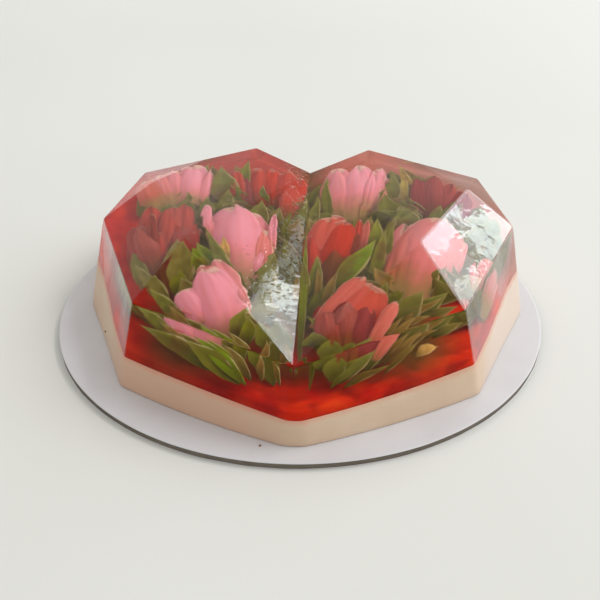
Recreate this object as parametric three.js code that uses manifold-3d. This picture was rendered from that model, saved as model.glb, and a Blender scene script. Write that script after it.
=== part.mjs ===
// A faceted heart of moulded jelly on its round cake board. From the board up: a milk-jelly base,
// a thin red layer, and a deep clear jelly whose top has the flat facets of a diamond-heart mould.
//
// Millimetres, +Z up. The origin is the centre of the board's underside, and +Y runs along the
// heart's axis from its tip to its notch.

import * as THREE from 'three';
import { mergeVertices } from 'three/addons/utils/BufferGeometryUtils.js';
import Module from 'manifold-3d';

const wasm = await Module();
wasm.setup();

// ---- driving dimensions ---------------------------------------------------------------------

const board = { radius: 120, thickness: 3.2, edgeRound: 0.35, segments: 120 };

// The heart stands a little to one side of the board's centre.
const heartShift = 2.3;

// Corners of the mould, as [from the axis, along the axis, above the board's top].
// Those with a first number of 0 lie on the axis; each of the others has a twin on the other lobe.
const corner = {
  // the crease between the lobes
  notchTop: [0, 72.5, 43.0],
  creaseEnd: [0, -106.8, 41.0],
  // the raised facets of a lobe
  lobePeak: [55.4, -21.1, 55.2],
  innerPeak: [81.8, 50.1, 46.5],
  // the rim of the facets
  lobeTop: [30.6, 99.6, 44.0],
  lobeBrow: [56.2, 85.0, 44.0],
  lobeBack: [88.5, 72.5, 41.3],
  lobeSide: [104.0, 28.4, 36.9],
  lobeFront: [74.6, -66.0, 46.2],
  // the foot of the walls
  footNotch: [0, 77.0, 0],
  footTop: [32.5, 104.5, 0],
  footBack: [92.0, 77.5, 0],
  footRear: [107.2, 30.0, 0],
  footSide: [108.6, 5.5, 0],
  footCheek: [96.5, -27.5, 0],
  footFront: [83.3, -65.8, 0],
  footTip: [4.8, -108.2, 0],
};

// The soft front walls belly out at the foot, most at the middle of each.
const bellyDepth = 2.6;
const bellySteps = 6;

// The milk jelly's surface is level at the back and sinks towards the tip, with a slight ripple.
const milk = { level: 19.2, tipSink: 5.2, sinkFrom: 10, tipAt: -108, ripple: 0.45 };
const rippleLength = { across: 150, along: 190 };
const redThickness = 3.0;
const layerGap = 0.3;
const pourSteps = { across: 14, along: 14 };
const pourSize = 260;

// ---- the mould's form -----------------------------------------------------------------------

function blend(from, to, share) {
  return from.map((value, axis) => value + (to[axis] - value) * share);
}

// Points of one front wall: along the rim from the crease to the lobe's front corner, and along
// the foot from the tip to the foot below that corner.
function frontWall() {
  const run = corner.footFront.map((value, axis) => value - corner.footTip[axis]);
  const length = Math.hypot(run[0], run[1]);
  const outward = [run[1] / length, -run[0] / length, 0];
  const rim = [];
  const foot = [];
  for (let step = 0; step <= bellySteps; step += 1) {
    const share = step / bellySteps;
    const belly = bellyDepth * 4 * share * (1 - share);
    const straight = blend(corner.footTip, corner.footFront, share);
    rim.push(blend(corner.creaseEnd, corner.lobeFront, share));
    foot.push(straight.map((value, axis) => value + outward[axis] * belly));
  }
  return { rim, foot };
}

// All facets of one lobe, each as a fan of corners in order round it, seen from outside.
function lobeFacets() {
  const c = corner;
  const { rim, foot } = frontWall();
  const facets = [
    // top
    [c.lobePeak, c.notchTop, c.creaseEnd],
    [c.lobePeak, ...rim],
    [c.lobePeak, c.lobeFront, c.lobeSide, c.innerPeak],
    [c.lobePeak, c.innerPeak, c.lobeBrow, c.lobeTop],
    [c.lobePeak, c.lobeTop, c.notchTop],
    [c.innerPeak, c.lobeSide, c.lobeBack],
    [c.innerPeak, c.lobeBack, c.lobeBrow],
    // walls
    [c.lobeFront, c.footFront, c.footCheek],
    [c.lobeFront, c.footCheek, c.lobeSide],
    [c.lobeSide, c.footCheek, c.footSide],
    [c.lobeSide, c.footSide, c.footRear],
    [c.lobeSide, c.footRear, c.lobeBack],
    [c.lobeBack, c.footRear, c.footBack],
    [c.lobeBack, c.footBack, c.lobeBrow],
    [c.lobeBrow, c.footBack, c.footTop],
    [c.lobeBrow, c.footTop, c.lobeTop],
    [c.lobeTop, c.footTop, c.footNotch],
    [c.lobeTop, c.footNotch, c.notchTop],
  ];
  for (let step = 0; step < bellySteps; step += 1) {
    facets.push([rim[step], foot[step], foot[step + 1], rim[step + 1]]);
  }
  // underside, as one fan from the middle of the axis
  const middle = [0, 0, 0];
  const ring = [c.footNotch, c.footTop, c.footBack, c.footRear, c.footSide, c.footCheek];
  const half = [...ring, ...[...foot].reverse()];
  for (let step = 0; step + 1 < half.length; step += 1) {
    facets.push([middle, half[step], half[step + 1]]);
  }
  return facets;
}

function mirrored(point) {
  return [-point[0], point[1], point[2]];
}

// The whole heart as one closed mesh, standing at z = 0.
function heartGeometry() {
  const positions = [];
  const addFan = (fan) => {
    for (let k = 1; k + 1 < fan.length; k += 1) {
      positions.push(...fan[0], ...fan[k], ...fan[k + 1]);
    }
  };
  for (const fan of lobeFacets()) {
    addFan(fan);
    addFan(fan.map(mirrored).reverse());
  }
  // the narrow flat at the tip, and its strip of underside
  const tip = corner.footTip;
  addFan([corner.creaseEnd, mirrored(tip), tip]);
  addFan([[0, 0, 0], tip, mirrored(tip)]);
  const geometry = new THREE.BufferGeometry();
  geometry.setAttribute('position', new THREE.Float32BufferAttribute(positions, 3));
  return geometry;
}

// ---- layers ---------------------------------------------------------------------------------

// Height of the milk jelly's surface over the board's top.
function milkSurface(x, y) {
  const sunk = Math.max(0, (milk.sinkFrom - y) / (milk.sinkFrom - milk.tipAt));
  const wave = Math.sin((2 * Math.PI * x) / rippleLength.across)
    * Math.cos((2 * Math.PI * y) / rippleLength.along);
  return milk.level - milk.tipSink * sunk ** 2 + milk.ripple * wave;
}

// A slab wider than the heart between two heights, each a function of x and y.
function pourGeometry(floorAt, topAt) {
  const { across, along } = pourSteps;
  const slab = new THREE.BoxGeometry(pourSize, pourSize, 2, across, along, 1);
  const position = slab.attributes.position;
  for (let k = 0; k < position.count; k += 1) {
    const x = position.getX(k);
    const y = position.getY(k);
    position.setZ(k, position.getZ(k) > 0 ? topAt(x, y) : floorAt(x, y));
  }
  return slab;
}

function toSolid(geometry) {
  const bare = geometry.clone();
  bare.deleteAttribute('normal');
  bare.deleteAttribute('uv');
  const merged = mergeVertices(bare, 1e-4);
  const vertProperties = new Float32Array(merged.attributes.position.array);
  const triVerts = new Uint32Array(merged.index.array);
  return new wasm.Manifold(new wasm.Mesh({ numProp: 3, vertProperties, triVerts }));
}

function toGeometry(solid) {
  const { vertProperties, triVerts } = solid.getMesh();
  const geometry = new THREE.BufferGeometry();
  geometry.setAttribute('position', new THREE.BufferAttribute(vertProperties, 3));
  geometry.setIndex(new THREE.BufferAttribute(triVerts, 1));
  geometry.computeVertexNormals();
  return geometry;
}

// ---- pieces ---------------------------------------------------------------------------------

function finish(colour, roughness, opacity = 1) {
  return new THREE.MeshStandardMaterial({
    color: colour, roughness, metalness: 0, opacity, transparent: opacity < 1, flatShading: true,
  });
}

function boardMesh() {
  const { radius, thickness, edgeRound, segments } = board;
  const profile = [
    [0, 0],
    [radius - edgeRound, 0],
    [radius, edgeRound],
    [radius, thickness - edgeRound],
    [radius - edgeRound, thickness],
    [0, thickness],
  ].map(([r, z]) => new THREE.Vector2(r, z));
  const geometry = new THREE.LatheGeometry(profile, segments);
  geometry.rotateX(Math.PI / 2);
  const mesh = new THREE.Mesh(geometry, finish(0xe6e3e2, 0.55));
  mesh.name = 'cake_board';
  return mesh;
}

const heart = toSolid(heartGeometry());
const below = () => -10;
const above = () => 100;
const redFloor = (x, y) => milkSurface(x, y) + layerGap;
const redTop = (x, y) => redFloor(x, y) + redThickness;
const clearFloor = (x, y) => redTop(x, y) + layerGap;

function jellyMesh(name, floorAt, topAt, material) {
  const layer = heart.intersect(toSolid(pourGeometry(floorAt, topAt)));
  const mesh = new THREE.Mesh(toGeometry(layer), material);
  mesh.name = name;
  mesh.position.set(heartShift, 0, board.thickness);
  return mesh;
}

const cake = new THREE.Group();
cake.add(
  boardMesh(),
  jellyMesh('milk_jelly_base', below, milkSurface, finish(0xe4d6bd, 0.35)),
  jellyMesh('red_jelly_layer', redFloor, redTop, finish(0xc22a16, 0.2)),
  jellyMesh('clear_jelly', clearFloor, above, finish(0xe0b0a6, 0.08, 0.4)),
);

export default cake;
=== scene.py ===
"""A faceted heart of moulded jelly on its round cake board.

From the board up: a block of milk jelly, a thin red layer, and deep clear jelly with tulips of
coloured jelly set in it. Blender works in metres here, +Z up, from the centre of the board's
underside. The sizes below are in millimetres: x from the heart's axis, y along it from the tip
towards the notch, z from the top of the board.
"""

import math
import random

import bmesh
import bpy
from mathutils import Matrix, Vector, noise
from mathutils.geometry import intersect_point_line


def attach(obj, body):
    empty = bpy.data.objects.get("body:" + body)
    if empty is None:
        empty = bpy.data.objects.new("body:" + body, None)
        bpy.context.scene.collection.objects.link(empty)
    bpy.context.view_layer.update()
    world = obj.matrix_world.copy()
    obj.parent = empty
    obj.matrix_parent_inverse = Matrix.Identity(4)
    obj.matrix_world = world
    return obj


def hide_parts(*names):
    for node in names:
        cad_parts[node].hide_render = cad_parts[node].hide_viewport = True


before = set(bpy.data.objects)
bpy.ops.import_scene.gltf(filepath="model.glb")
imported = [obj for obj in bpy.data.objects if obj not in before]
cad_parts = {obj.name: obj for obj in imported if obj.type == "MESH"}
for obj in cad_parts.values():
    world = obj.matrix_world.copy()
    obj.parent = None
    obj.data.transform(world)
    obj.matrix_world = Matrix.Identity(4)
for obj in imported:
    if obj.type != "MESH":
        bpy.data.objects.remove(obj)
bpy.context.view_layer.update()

MM = 0.001

# ---- sizes ----------------------------------------------------------------------------------

BOARD = {"radius": 120, "thickness": 3.2, "paper": 0.45}
HEART_SHIFT = 2.3

CORNER = {
    "notchTop": (0, 72.5, 43.0),
    "creaseEnd": (0, -106.8, 41.0),
    "lobePeak": (55.4, -21.1, 55.2),
    "innerPeak": (81.8, 50.1, 46.5),
    "lobeTop": (30.6, 99.6, 44.0),
    "lobeBrow": (56.2, 85.0, 44.0),
    "lobeBack": (88.5, 72.5, 41.3),
    "lobeSide": (104.0, 28.4, 36.9),
    "lobeFront": (74.6, -66.0, 46.2),
    "footNotch": (0, 77.0, 0),
    "footTop": (32.5, 104.5, 0),
    "footBack": (92.0, 77.5, 0),
    "footRear": (107.2, 30.0, 0),
    "footSide": (108.6, 5.5, 0),
    "footCheek": (96.5, -27.5, 0),
    "footFront": (83.3, -65.8, 0),
    "footTip": (4.8, -108.2, 0),
}
BELLY = {"depth": 2.6, "steps": 6}
MILK = {"level": 19.2, "sink": 5.2, "sink_from": 10, "tip_at": -108, "ripple": 0.45}
RIPPLE = {"across": 150, "along": 190}
RED_TOP = 3.3          # the red layer's top over the milk jelly
CLEAR_SINK = 0.8       # how far the clear jelly reaches down into the milk jelly
EDGE_ROUND = 0.7
RING_STEP = 1.6        # between the points of a ring round the wall
RING_MIDDLE = 12       # the height at which the rings' steps are counted
SKIN = 1.6             # the least jelly over what is set in it

# The facets of a lobe's top, each by its corners in order round it.
FACETS = {
    "inner": ("lobePeak", "notchTop", "creaseEnd"),
    "front": ("lobePeak", "creaseEnd", "lobeFront"),
    "raised": ("lobePeak", "lobeFront", "lobeSide", "innerPeak"),
    "back": ("lobePeak", "innerPeak", "lobeBrow", "lobeTop"),
    "notch": ("lobePeak", "lobeTop", "notchTop"),
    "side": ("innerPeak", "lobeSide", "lobeBack"),
    "low_back": ("innerPeak", "lobeBack", "lobeBrow"),
}


def milk_level(x, y):
    """Height of the milk jelly's surface: level at the back, sinking towards the tip."""
    sunk = max(0, (MILK["sink_from"] - y) / (MILK["sink_from"] - MILK["tip_at"]))
    wave = math.sin(2 * math.pi * x / RIPPLE["across"]) * math.cos(2 * math.pi * y / RIPPLE["along"])
    return MILK["level"] - MILK["sink"] * sunk ** 2 + MILK["ripple"] * wave


def over_milk(rise):
    """The surface that lies some millimetres over the milk jelly's."""
    return lambda x, y: milk_level(x, y) + rise


def flat(height):
    return lambda x, y: height


def set_down(point):
    """A point in the heart's own millimetres, as metres over the board."""
    x, y, z = point
    return Vector(((x + HEART_SHIFT) * MM, y * MM, (z + BOARD["thickness"]) * MM))


# ---- the heart's walls ----------------------------------------------------------------------

def mirror(point):
    return (-point[0], point[1], point[2])


def blend(a, b, share):
    return tuple(p + (q - p) * share for p, q in zip(a, b))


def front_wall():
    """The rim and the foot of one front wall, which bellies out between tip and lobe."""
    tip, front = CORNER["footTip"], CORNER["footFront"]
    run = Vector(front) - Vector(tip)
    outward = Vector((run.y, -run.x, 0)).normalized()
    rim, foot = [], []
    for step in range(BELLY["steps"] + 1):
        share = step / BELLY["steps"]
        belly = BELLY["depth"] * 4 * share * (1 - share)
        rim.append(blend(CORNER["creaseEnd"], CORNER["lobeFront"], share))
        foot.append(tuple(Vector(blend(tip, front, share)) + outward * belly))
    return rim, foot


def lobe_ribs():
    """The wall's lines from its top to its foot, round one lobe from notch to tip."""
    names = [
        ("notchTop", "footNotch"), ("lobeTop", "footNotch"), ("lobeTop", "footTop"),
        ("lobeBrow", "footTop"), ("lobeBrow", "footBack"), ("lobeBack", "footBack"),
        ("lobeBack", "footRear"), ("lobeSide", "footRear"), ("lobeSide", "footSide"),
        ("lobeSide", "footCheek"), ("lobeFront", "footCheek"),
    ]
    ribs = [(CORNER[top], CORNER[foot]) for top, foot in names]
    rim, foot = front_wall()
    return ribs + list(zip(reversed(rim), reversed(foot)))


def wall_ribs():
    """The same lines all the way round the heart."""
    right = lobe_ribs()
    left = [(mirror(top), mirror(foot)) for top, foot in reversed(right[1:])]
    return right + left


def cut_rib(rib, level):
    """Where one line of the wall crosses a surface."""
    top, foot = rib
    share = 0.5
    for _ in range(6):
        x, y, _z = blend(foot, top, share)
        share = level(x, y) / top[2]
    return blend(foot, top, share)


def wall_ring(level):
    """Points close together round the wall where it crosses a surface."""
    ribs = wall_ribs()
    at = [cut_rib(rib, level) for rib in ribs]
    middle = [cut_rib(rib, flat(RING_MIDDLE)) for rib in ribs]
    points = []
    for k in range(len(at)):
        a, b = at[k], at[(k + 1) % len(at)]
        span = (Vector(middle[(k + 1) % len(at)]) - Vector(middle[k])).length
        steps = max(1, round(span / RING_STEP))
        points += [blend(a, b, step / steps) for step in range(steps)]
    return points


def relax(points, rounds):
    """Rounds the corners of a ring by moving each point towards its neighbours."""
    count = len(points)
    for _ in range(rounds):
        points = [
            tuple((a + 2 * b + c) / 4 for a, b, c in zip(points[k - 1], points[k], points[(k + 1) % count]))
            for k in range(count)
        ]
    return points


def outward_of(points):
    """Level directions that point out of the heart, one for each point of a ring."""
    count, reach = len(points), 2
    found = []
    for k in range(count):
        run = Vector(points[(k + reach) % count]) - Vector(points[k - reach])
        found.append(Vector((-run.y, run.x, 0)).normalized())
    return found


RING_OUT = outward_of(relax(wall_ring(flat(RING_MIDDLE)), 3))


def ring_at(level, out):
    """A ring of the wall at a surface, moved outwards by some millimetres."""
    points = relax(wall_ring(level), 2)
    return [
        (p[0] + o.x * out, p[1] + o.y * out, level(p[0], p[1]))
        for p, o in zip(points, RING_OUT)
    ]


# ---- mesh helpers ---------------------------------------------------------------------------

def new_piece(name, bm, *materials):
    mesh = bpy.data.meshes.new(name)
    bm.to_mesh(mesh)
    bm.free()
    piece = bpy.data.objects.new(name, mesh)
    bpy.context.scene.collection.objects.link(piece)
    for material in materials:
        mesh.materials.append(material)
    for face in mesh.polygons:
        face.use_smooth = True
    return piece


def new_extra(name, bm, material):
    """A piece that no solid stands for, which rides on the cake all the same."""
    piece = new_piece(name, bm, material)
    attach(piece, "root")


def stack_rings(bm, rings, centre_low, centre_high):
    """A closed body from rings of equal count, lowest first, closed by a point at each end."""
    rows = [[bm.verts.new(set_down(p)) for p in ring] for ring in rings]
    low, high = bm.verts.new(set_down(centre_low)), bm.verts.new(set_down(centre_high))
    count = len(rows[0])
    for lower, upper in zip(rows, rows[1:]):
        for k in range(count):
            n = (k + 1) % count
            bm.faces.new((lower[n], lower[k], upper[k], upper[n]))
    for k in range(count):
        n = (k + 1) % count
        bm.faces.new((low, rows[0][k], rows[0][n]))
        bm.faces.new((high, rows[-1][n], rows[-1][k]))
    bmesh.ops.recalc_face_normals(bm, faces=bm.faces)


def shrink(ring, share, level):
    """A ring drawn in towards the heart's middle, laid on a surface."""
    return [(x * share, y * share, level(x * share, y * share)) for x, y, _z in ring]


# ---- shader helpers -------------------------------------------------------------------------

def operator(operation):
    """What a sign between two values does, and what it does with the wire on its right."""
    def forward(wire, other):
        return wire.maths(operation, wire, other)

    def reflected(wire, other):
        return wire.maths(operation, other, wire)
    return forward, reflected


class Wire:
    """One output of a shader node. Arithmetic on it adds the Math nodes that it stands for."""

    __add__, __radd__ = operator("ADD")
    __sub__, __rsub__ = operator("SUBTRACT")
    __mul__, __rmul__ = operator("MULTIPLY")
    __truediv__, __rtruediv__ = operator("DIVIDE")
    __pow__, __rpow__ = operator("POWER")

    def __init__(self, paint, socket):
        self.paint, self.socket = paint, socket

    def maths(self, operation, *inputs):
        return self.paint.node("Math", {"operation": operation}, dict(enumerate(inputs)))

    def __abs__(self):
        return self.maths("ABSOLUTE", self)

    def between(self, low, high):
        """0 at low, 1 at high, eased in between. Low may be the larger."""
        return self.paint.node(
            "MapRange", {"interpolation_type": "SMOOTHSTEP"},
            {"Value": self, "From Min": low, "From Max": high},
        )


class Paint:
    """A material in the making."""

    def __init__(self, name):
        self.material = bpy.data.materials.new(name)
        self.material.use_nodes = True
        self.tree = self.material.node_tree
        self.tree.nodes.clear()

    def node(self, kind, settings=None, sockets=None, out=0):
        """Adds a node: its settings first, then the values or links of its sockets."""
        made = self.tree.nodes.new("ShaderNode" + kind)
        for key, value in (settings or {}).items():
            if key == "stops":
                self._set_stops(made.color_ramp.elements, value)
            else:
                setattr(made, key, value)
        for key, value in (sockets or {}).items():
            self._feed(made.inputs[key], value)
        return Wire(self, made.outputs[out]) if made.outputs else None

    def _feed(self, socket, value):
        if isinstance(value, Wire):
            self.tree.links.new(value.socket, socket)
        elif isinstance(value, (tuple, list)) and len(value) == 3 and socket.type == "RGBA":
            socket.default_value = (*value, 1)
        else:
            socket.default_value = value

    def _set_stops(self, elements, stops):
        while len(elements) < len(stops):
            elements.new(0.5)
        for element, (at, colour) in zip(elements, stops):
            element.position, element.color = at, (*srgb(*colour), 1)

    def place(self):
        """The surface's own coordinates, in metres."""
        return self.node("TexCoord", out="Object")

    def axis(self, which):
        return self.node("SeparateXYZ", None, {"Vector": self.place()}, out=which)

    def stretched(self, x, y, z):
        return self.node("Mapping", None, {"Vector": self.place(), "Scale": (x, y, z)})

    def cloud(self, size_mm, detail=2, vector=None, roughness=0.5, shift=0.0):
        """Soft noise from 0 to 1 whose blots are about that many millimetres across."""
        return self.node(
            "TexNoise", {"noise_dimensions": "4D"},
            {"Vector": vector or self.place(), "Scale": 1 / (size_mm * MM), "Detail": detail,
             "Roughness": roughness, "W": shift},
        )

    def uv(self, which):
        return self.node("SeparateXYZ", None, {"Vector": self.node("UVMap")}, out=which)

    def stored(self, name):
        return self.node("Attribute", {"attribute_name": name}, out="Fac")

    def ramp(self, value, stops):
        """A colour from stops, each a value with red, green and blue from 0 to 255."""
        return self.node("ValToRGB", {"stops": stops}, {"Fac": value})

    def mix(self, share, a, b):
        """A colour between a and b."""
        return self.node("Mix", {"data_type": "RGBA"}, {0: share, 6: a, 7: b}, out=2)

    def blend(self, share, a, b):
        """A shader between a and b."""
        return self.node("MixShader", None, {0: share, 1: a, 2: b})

    def bump(self, height, depth_mm):
        return self.node("Bump", None, {"Height": height, "Distance": depth_mm * MM})

    def principled(self, **sockets):
        """The main shader, each socket by its own name in small letters."""
        named = {}
        for key, value in sockets.items():
            named[key.replace("_", " ").title().replace("Ior", "IOR")] = value
        return self.node("BsdfPrincipled", None, named)

    def finish(self, shader=None, **sockets):
        """The material, from a shader or from the main shader's sockets."""
        self.node("OutputMaterial", None, {"Surface": shader or self.principled(**sockets)})
        return self.material


def srgb(red, green, blue):
    """A colour given as screen values from 0 to 255, as the shader's linear ones."""
    def linear(value):
        share = value / 255
        return share / 12.92 if share <= 0.04045 else ((share + 0.055) / 1.055) ** 2.4
    return tuple(linear(value) for value in (red, green, blue))


# ---- finishes -------------------------------------------------------------------------------

def board_paper():
    paint = Paint("white_board_paper")
    grain = paint.cloud(0.5, detail=4, roughness=0.65)
    mottle = paint.cloud(38, detail=2)
    colour = paint.ramp(mottle, [(0.3, (214, 212, 214)), (0.7, (223, 222, 224))])
    return paint.finish(
        base_color=colour, roughness=0.42 + 0.12 * grain, specular_ior_level=0.4,
        normal=paint.bump(grain, 0.02))


def board_card():
    paint = Paint("grey_board_card")
    fibre = paint.cloud(1.2, detail=5, vector=paint.stretched(1, 1, 5), roughness=0.7)
    blots = paint.cloud(14, detail=3, shift=4)
    colour = paint.ramp(0.6 * fibre + 0.4 * blots, [
        (0.3, (92, 84, 76)), (0.5, (114, 106, 96)), (0.72, (140, 131, 119))])
    return paint.finish(
        base_color=colour, roughness=0.85, specular_ior_level=0.2, normal=paint.bump(fibre, 0.12))


def milk_finish():
    """Milk jelly, with painted shade, warm and darker, at the left front and painted light that makes the
    right side paler, its top rim stained by the red.
    """
    paint = Paint("milk_jelly")
    soft = paint.cloud(45, detail=3)
    fine = paint.cloud(3.5, detail=4, shift=2)
    flow = paint.cloud(9, detail=3, vector=paint.stretched(0.5, 0.5, 1.6), shift=7)
    colour = paint.ramp(0.75 * soft + 0.25 * flow, [
        (0.3, (208, 178, 150)), (0.5, (216, 189, 162)), (0.7, (223, 200, 175))])
    across, along = paint.axis("X"), paint.axis("Y")
    # painted shade: the left front, away from the light, made darker and warmer
    painted_warm_shade = across.between(0.01, -0.03) * along.between(-0.03, -0.07)
    colour = paint.mix(painted_warm_shade * 0.7, colour, srgb(212, 168, 142))
    # painted light: the right side, which faces the window, made paler
    colour = paint.mix(across.between(0.084, 0.094) * 0.7, colour, srgb(228, 213, 200))
    sunk = (MILK["sink_from"] * MM - along) / ((MILK["sink_from"] - MILK["tip_at"]) * MM)
    sink = MILK["sink"] * MM * sunk.maths("MAXIMUM", sunk, 0) ** 2
    top = (MILK["level"] + BOARD["thickness"]) * MM - sink
    stained = (top - paint.axis("Z") + 0.003 * (fine - 0.5)).between(0.0035, 0.0) * (0.4 + 0.6 * flow)
    colour = paint.mix(stained, colour, srgb(220, 148, 124))
    return paint.finish(
        base_color=colour, roughness=0.32 + 0.16 * fine, specular_ior_level=0.45,
        normal=paint.bump(fine + 1.6 * flow, 0.12))


def red_finish():
    """Red jelly: deep at the left front, blotched and darkened by painted shade at the right front, paled
    behind and on the right by a painted reflection of the room, browned by painted shade in the middle.
    """
    paint = Paint("red_jelly")
    swirl = paint.cloud(26, detail=3, roughness=0.55)
    veins = paint.cloud(11, detail=4, vector=paint.stretched(1, 0.45, 1), shift=3)
    colour = paint.ramp(0.65 * swirl + 0.35 * veins, [
        (0.3, (156, 8, 3)), (0.46, (196, 22, 4)), (0.58, (226, 50, 4)), (0.72, (246, 96, 10))])
    across, along = paint.axis("X"), paint.axis("Y")
    left = across.between(-0.005, -0.03) * across.between(-0.092, -0.066)
    colour = paint.mix(left * along.between(-0.03, -0.06) * 0.65, colour, srgb(104, 6, 2))
    # Right front: painted shade that darkens the whole front, deepened in blotches that are the jelly's own
    # texture
    blotches = paint.cloud(11, detail=4, vector=paint.stretched(0.8, 1.1, 1), shift=12)
    front = along.between(-0.035, -0.065) * across.between(-0.03, 0.0)
    colour = paint.mix(front * (0.15 + 0.6 * blotches.between(0.6, 0.4)), colour, srgb(132, 10, 4))
    # painted reflection: behind and at the right side the red is paled towards dusty rose, standing in for
    # the pale room reflected in the facets
    behind = along.between(0.055, 0.085) + across.between(0.07, 0.09) * along.between(-0.02, 0.02)
    painted_room_reflection = paint.ramp(across.between(-0.09, 0.11), [
        (0.3, (172, 66, 52)), (0.55, (186, 90, 66)), (0.9, (172, 124, 108))])
    colour = paint.mix(behind * 0.85, colour, painted_room_reflection)
    middle = abs(across - HEART_SHIFT * MM).between(0.074, 0.05)
    shade = middle * along.between(-0.09, -0.055) * along.between(0.09, 0.07)
    colour = paint.mix((shade + 0.3 * (veins - 0.5) * shade) * 0.9, colour, srgb(104, 84, 32))
    return paint.finish(
        base_color=colour, roughness=0.4 + 0.2 * veins, specular_ior_level=0.0,
        normal=paint.bump(swirl, 0.4))


def clear_finish():
    """Clear jelly. Light from the lamps and from inside passes it unbent, so what is set in it is lit."""
    paint = Paint("clear_jelly")
    waves = paint.cloud(30, detail=2)
    skin = paint.cloud(5, detail=3, shift=1)
    mottle = paint.cloud(11, detail=3, vector=paint.stretched(1, 0.6, 1), shift=5)
    across, along = paint.axis("X"), paint.axis("Y")
    raised = across.between(0.052, 0.060) * along.between(-0.075, -0.05) * along.between(0.062, 0.04)
    by_crease = across.between(-0.040, -0.006) * across.between(0.0035, 0.0018)
    pimples = paint.node("TexVoronoi", {"feature": "SMOOTH_F1"}, {
        "Vector": paint.place(), "Scale": 1 / (2.8 * MM), "Smoothness": 0.1}).between(0.42, 0.1)
    strip = along.between(-0.045, -0.03) * across.between(-0.016, -0.007)
    height = waves + 0.06 * skin + 0.8 * mottle * raised
    height = height + (0.4 * mottle + (0.09 + 0.9 * strip) * pimples) * by_crease
    facing = paint.node("NewGeometry", out="True Normal")
    sides = abs(paint.node("SeparateXYZ", None, {"Vector": facing}, out="X")).between(0.62, 0.8)
    haze = paint.cloud(20, detail=2, vector=paint.stretched(1, 1, 0.5), shift=8).between(0.2, 0.7)
    left = paint.axis("Z").between(0.026, 0.046) * across.between(0.0, -0.06)
    right = across.between(0.085, 0.1)
    tint = (1.0, 0.98, 0.965)
    glass = paint.principled(
        base_color=tint, ior=1.35, transmission_weight=1.0,
        roughness=0.16 - 0.12 * raised - 0.12 * by_crease,
        specular_tint=(0.42, 0.42, 0.42, 1), normal=paint.bump(height, 0.25),
        coat_weight=sides * (haze + 0.5 * left + 0.4 * right), coat_roughness=0.4, coat_ior=2.0)
    unbent = paint.node("BsdfTransparent", None, {"Color": tint})
    lit = paint.blend(paint.node("LightPath", out="Is Diffuse Ray"), glass, unbent)
    return paint.finish(paint.blend(paint.node("LightPath", out="Is Shadow Ray"), lit, unbent))


def edge_finish():
    """The raised facet's rounded rim, with a white highlight painted on it in patches."""
    paint = Paint("jelly_edge_painted_highlight")
    highlight_patches = paint.cloud(6, detail=3)
    clear = paint.principled(base_color=(1.0, 0.97, 0.96), ior=1.35, transmission_weight=1.0, roughness=0.1)
    white = paint.principled(base_color=srgb(246, 226, 224), roughness=0.3 + 0.2 * highlight_patches)
    return paint.finish(paint.blend(0.1 + 0.4 * highlight_patches, clear, white))


def lengthwise_streaks(paint, count):
    """Fine streaks along a petal or leaf, different on each."""
    across, along, tone = paint.uv("X") * count, paint.uv("Y") * 1.3, paint.stored("tone") * 20
    place = paint.node("CombineXYZ", None, {"X": across, "Y": along, "Z": tone})
    return paint.node("TexNoise", None, {"Vector": place, "Scale": 1.0, "Detail": 3})


# Tones of petals, with the colour of a petal's tip and of its middle.
PETAL_TONES = [
    (0, (112, 56, 18), (96, 60, 14)),           # brown
    (0.12, (134, 30, 20), (112, 24, 12)),       # dark red
    (0.2, (142, 58, 54), (122, 42, 34)),        # plum
    (0.3, (168, 60, 44), (144, 42, 22)),        # coral
    (0.4, (158, 76, 64), (134, 56, 42)),        # dusty rose
    (0.5, (188, 46, 16), (150, 42, 10)),        # orange-red
    (0.75, (212, 110, 94), (184, 84, 60)),      # salmon
    (1, (234, 142, 154), (230, 124, 126)),      # pink
]


def petal_finish():
    """Petals of coloured jelly, each in its own tone, fading to peach and olive at the base, with painted
    shade at their sides and a faint painted glow.
    """
    paint = Paint("petal_jelly")
    tone, fade, along = paint.stored("tone"), paint.stored("fade"), paint.uv("Y")
    streak, cloudy = lengthwise_streaks(paint, 7), paint.cloud(8, detail=3)
    tip = paint.ramp(tone, [(at, colour) for at, colour, _middle in PETAL_TONES])
    middle = paint.ramp(tone, [(at, colour) for at, _tip, colour in PETAL_TONES])
    at = along + 0.25 * (streak - 0.5) + 0.3 * (cloudy - 0.5)
    colour = paint.mix((at - fade).between(-0.05, 0.45), middle, tip)
    colour = paint.mix(streak.between(0.58, 0.3) * 0.4, colour, middle)
    side = abs(paint.uv("X") * 2 - 1)
    # painted shade: the petal darkens towards its sides
    painted_side_shade = (side + 0.9 * (cloudy - 0.5)).between(0.4, 1.0) * 0.25
    colour = paint.mix(painted_side_shade, colour, srgb(150, 74, 66))
    pale = (side + 0.15 * (streak - 0.5)).between(0.9, 0.98) + along.between(0.95, 0.99)
    colour = paint.mix(pale * tone.between(0.25, 0.9) * 0.6, colour, srgb(226, 182, 154))
    base = paint.mix(tone.between(0.45, 0.75), srgb(114, 62, 18), srgb(148, 122, 66))
    colour = paint.mix((at - fade).between(0.25, -0.2) * 0.9, colour, base)
    # The faint emission is a painted glow that lifts the shade between the petals.
    return paint.finish(
        base_color=colour, roughness=0.5, specular_ior_level=0.0, normal=paint.bump(streak, 0.2),
        emission_color=colour, emission_strength=0.1,
        subsurface_weight=0.35, subsurface_radius=(1.0, 0.4, 0.35), subsurface_scale=0.004)


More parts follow.
